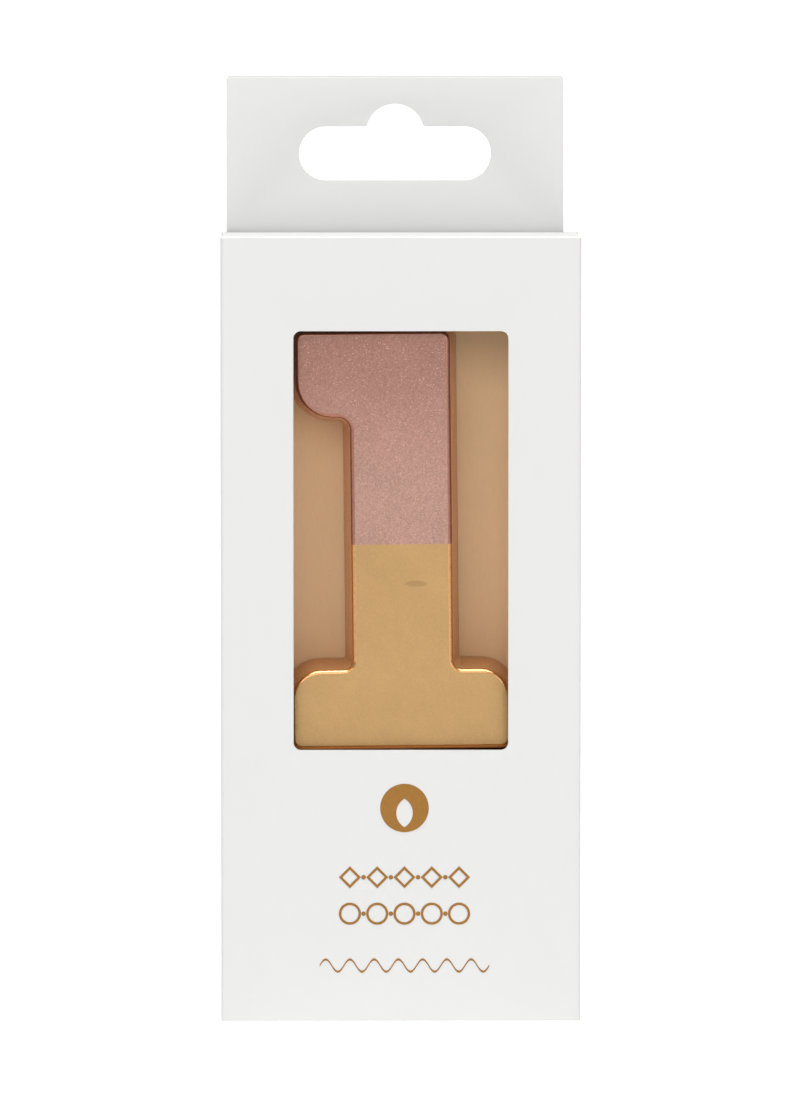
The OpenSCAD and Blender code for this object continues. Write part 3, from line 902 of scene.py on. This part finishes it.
def build_pick(settings):
    """Cake pick: two crossed blades that end in a point."""
    half, thick = settings.pick_width / 2, settings.pick_thick / 2
    tip, point = -settings.pick_reach, settings.pick_point
    taper = 0.9
    blades = []
    for i in range(2):
        blade = add_block("pick_blade", (-half, -thick, tip + point),
                          (half, thick, settings.pick_root))
        pick(blade, "faces", lambda at, way: way.z < -0.9)
        bpy.ops.mesh.extrude_region_move(TRANSFORM_OT_translate={"value": (0, 0, -point)})
        leave_edit(blade)
        for side in (-1, 1):
            pick(blade, "verts", lambda at, way: at.z < tip + point / 2 and at.x * side > 0)
            bpy.ops.transform.translate(value=(-side * half * taper, 0, 0))
            leave_edit(blade)
        blade.rotation_euler = (0, 0, i * math.pi / 2)
        blades.append(settle(blade))
    cross, other = blades
    carve(cross, other, "UNION")
    cross.name = cross.data.name = "pick_blades"
    soften(cross, 0.12 * MM, 2)
    return smooth(stand(cross, settings, DIGIT_T / 2))


# ---- Operators ----


def cover(node, material):
    """Give a CAD node that stays in view a better material."""
    for slot in bpy.data.objects[node].material_slots:
        slot.material = material


class CANDLE_OT_sleeve(bpy.types.Operator):
    """Fold the carton's walls, hang tab and second ply from one sheet"""

    bl_idname = "candle_pack.sleeve"
    bl_label = "Carton sleeve"
    bl_options = {"REGISTER", "UNDO"}

    def execute(self, context):
        board = context.scene.candle_board
        white, core = white_board(board), board_core(board)
        place(build_sleeve(board), "carton", [white, core],
              ["front_panel", "back_panel", "left_panel", "right_panel", "tab_ply"])
        cover("glue_flap", white)
        return {"FINISHED"}


class CANDLE_OT_closures(bpy.types.Operator):
    """Make the two lids, their tongues and the four dust flaps"""

    bl_idname = "candle_pack.closures"
    bl_label = "Lids and flaps"
    bl_options = {"REGISTER", "UNDO"}

    def execute(self, context):
        board = context.scene.candle_board
        white = bpy.data.materials["white_board"]
        lid, tongue, flap = build_lid(board), build_tongue(board), build_dust_flap(board)
        other_flap = copy_of(flap, "upper_flap_right", flip=(-1, 1, 1))
        for piece, node in ((lid, "top_lid"), (tongue, "top_tongue"), (flap, "top_dust_left"),
                            (other_flap, "top_dust_right")):
            lower = copy_of(piece, piece.name.replace("upper", "lower"), **BASE_TURN)
            low_node = node.replace("top", "bottom")
            place(piece, node, [white], [node])
            place(lower, low_node, [white], [low_node])
        return {"FINISHED"}


class CANDLE_OT_insert(bpy.types.Operator):
    """Fold the insert card and its shelf"""

    bl_idname = "candle_pack.insert"
    bl_label = "Card insert"
    bl_options = {"REGISTER", "UNDO"}

    def execute(self, context):
        board = context.scene.candle_board
        card = tan_card(board)
        place(build_insert(board), "carton", [card],
              ["insert_back", "insert_wing_left", "insert_wing_right"])
        place(build_shelf(board), "carton", [card], ["insert_shelf"])
        return {"FINISHED"}


class CANDLE_OT_digit(bpy.types.Operator):
    """Make the digit's two paint coats and finish its wax"""

    bl_idname = "candle_pack.digit"
    bl_label = "Digit"
    bl_options = {"REGISTER", "UNDO"}

    def execute(self, context):
        candle = context.scene.candle_body
        digit = build_digit(candle)
        rose = coat_half(digit, "digit_rose_gold", candle, True)
        gold = coat_half(digit, "digit_gold_foot", candle, False)
        bpy.data.objects.remove(digit)
        # The rose coat darkens between 88 and 112 mm above the base as painted shade, standing in
        # for the shade under the window's top edge.
        rose_paint = metal_paint("rose_gold_paint", candle.rose, candle.rim_rose,
                                 candle.wall_rose, 1.7, painted_shade=(88, 112, candle.painted_shade_rose))
        gold_paint = metal_paint("gold_paint", candle.gold, candle.rim_gold,
                                 candle.wall_gold, 0.55, spot=(2.6, 73.0, 2.0, 0.55))
        place(rose, "candle", [rose_paint], ["rose_gold_coat"])
        place(gold, "candle", [gold_paint], ["gold_coat"])
        cover("wax_digit", wax_finish())
        return {"FINISHED"}


class CANDLE_OT_wick(bpy.types.Operator):
    """Twist the wick from three strands"""

    bl_idname = "candle_pack.wick"
    bl_label = "Wick"
    bl_options = {"REGISTER", "UNDO"}

    def execute(self, context):
        candle = context.scene.candle_body
        place(build_wick(candle), "candle", [cotton_finish()], ["wick"])
        return {"FINISHED"}


class CANDLE_OT_pick(bpy.types.Operator):
    """Make the cake pick from two crossed blades"""

    bl_idname = "candle_pack.pick"
    bl_label = "Cake pick"
    bl_options = {"REGISTER", "UNDO"}

    def execute(self, context):
        candle = context.scene.candle_body
        place(build_pick(candle), "candle", [plastic_finish()], ["cake_pick"])
        return {"FINISHED"}


class CANDLE_OT_foil(bpy.types.Operator):
    """Give the stamped foil shapes their satin finish"""

    bl_idname = "candle_pack.foil"
    bl_label = "Foil print"
    bl_options = {"REGISTER", "UNDO"}

    def execute(self, context):
        foil = foil_finish(context.scene.candle_foil)
        for node in ("foil_badge", "foil_row_upper", "foil_row_lower", "foil_streamer"):
            cover(node, foil)
        return {"FINISHED"}


class CANDLE_OT_stage(bpy.types.Operator):
    """Set up the floor, the soft lights and the camera"""

    bl_idname = "candle_pack.stage"
    bl_label = "Stage"
    bl_options = {"REGISTER", "UNDO"}

    def execute(self, context):
        scene = context.scene
        stage = scene.candle_stage
        bpy.ops.object.select_all(action="DESELECT")
        width, steps, bend, wall_height = 6, 12, 0.8, 3
        # The floor is a hair below the base, so that the two never share a plane.
        bpy.ops.mesh.primitive_plane_add(size=width, location=(0, 0, -0.0004))
        floor = settle(bpy.context.object)
        floor.name = "studio_floor"
        pick(floor, "edges", lambda at, way: at.y > width / 2 - 0.1)
        for i in range(steps):
            a, b = (math.pi / 2 * k / steps for k in (i, i + 1))
            bpy.ops.mesh.extrude_region_move(TRANSFORM_OT_translate={"value": (
                0, bend * (math.sin(b) - math.sin(a)), bend * (math.cos(a) - math.cos(b)))})
        bpy.ops.mesh.extrude_region_move(TRANSFORM_OT_translate={"value": (0, 0, wall_height)})
        leave_edit(floor)
        smooth(floor)
        floor.data.materials.append(floor_finish(stage))
        middle = Vector((stage.aim_x, 0, stage.aim_z))
        # Each light: its name, its place in metres, its width and depth, and its watts.
        # The sheen light only shows in glossy surfaces, as a highlight card does.
        for name, spot, size, deep, power in (
                ("key_light", (-0.35, -1.9, 0.95), 1.3, 1.0, 10.5),
                ("fill_light", (0.9, -1.8, 0.45), 1.0, 0.8, 4.5),
                ("strip_light", (0.0, -0.30, 1.5), 1.2, 0.22, 10.5),
                ("sheen_light", (0.0, -0.75, 1.55), 1.4, 0.9, 22)):
            spot = Vector(spot)
            bpy.ops.object.light_add(type="AREA", location=spot,
                                     rotation=(middle - spot).to_track_quat("-Z", "Y").to_euler())
            light = bpy.context.object
            light.name = name
            light.data.shape = "RECTANGLE"
            light.data.size = size
            light.data.size_y = deep
            light.data.energy = power
            light.visible_diffuse = name != "sheen_light"
        world = bpy.data.worlds.new("studio_air")
        world.use_nodes = True
        world.node_tree.nodes["Background"].inputs["Color"].default_value = (1, 1, 1, 1)
        world.node_tree.nodes["Background"].inputs["Strength"].default_value = stage.air
        scene.world = world
        scene.view_settings.view_transform = "Standard"
        level = math.cos(stage.elevation) * stage.distance
        spot = middle + Vector((-math.sin(stage.azimuth) * level, -math.cos(stage.azimuth) * level,
                                math.sin(stage.elevation) * stage.distance))
        bpy.ops.object.camera_add(location=spot,
                                  rotation=(middle - spot).to_track_quat("-Z", "Y").to_euler())
        camera = bpy.context.object
        camera.name = "studio_camera"
        camera.data.lens = stage.lens
        camera.data.clip_end = 50
        scene.camera = camera
        return {"FINISHED"}


OPERATORS = (CANDLE_OT_sleeve, CANDLE_OT_closures, CANDLE_OT_insert, CANDLE_OT_digit,
             CANDLE_OT_wick, CANDLE_OT_pick, CANDLE_OT_foil, CANDLE_OT_stage)


class CANDLE_PT_panel(bpy.types.Panel):
    """Lists the pack's pieces in the sidebar"""

    bl_idname = "CANDLE_PT_panel"
    bl_label = "Candle pack"
    bl_space_type = "VIEW_3D"
    bl_region_type = "UI"
    bl_category = "Candle pack"

    def draw(self, context):
        layout = self.layout
        for operator in OPERATORS:
            layout.operator(operator.bl_idname)
        for group in GROUPS:
            settings = getattr(context.scene, group)
            box = layout.box()
            for key in settings.bl_rna.properties.keys():
                if key not in ("rna_type", "name"):
                    box.prop(settings, key)


GROUPS = {"candle_board": BoardSettings, "candle_body": CandleSettings,
          "candle_foil": FoilSettings, "candle_stage": StageSettings}
CLASSES = (*GROUPS.values(), *OPERATORS, CANDLE_PT_panel)


def register():
    for cls in CLASSES:
        bpy.utils.register_class(cls)
    for name, group in GROUPS.items():
        setattr(bpy.types.Scene, name, bpy.props.PointerProperty(type=group))


def unregister():
    for name in GROUPS:
        delattr(bpy.types.Scene, name)
    for cls in reversed(CLASSES):
        bpy.utils.unregister_class(cls)


def main():
    register()
    for operator in OPERATORS:
        group, action = operator.bl_idname.split(".")
        getattr(getattr(bpy.ops, group), action)()


if __name__ == "__main__":
    main()
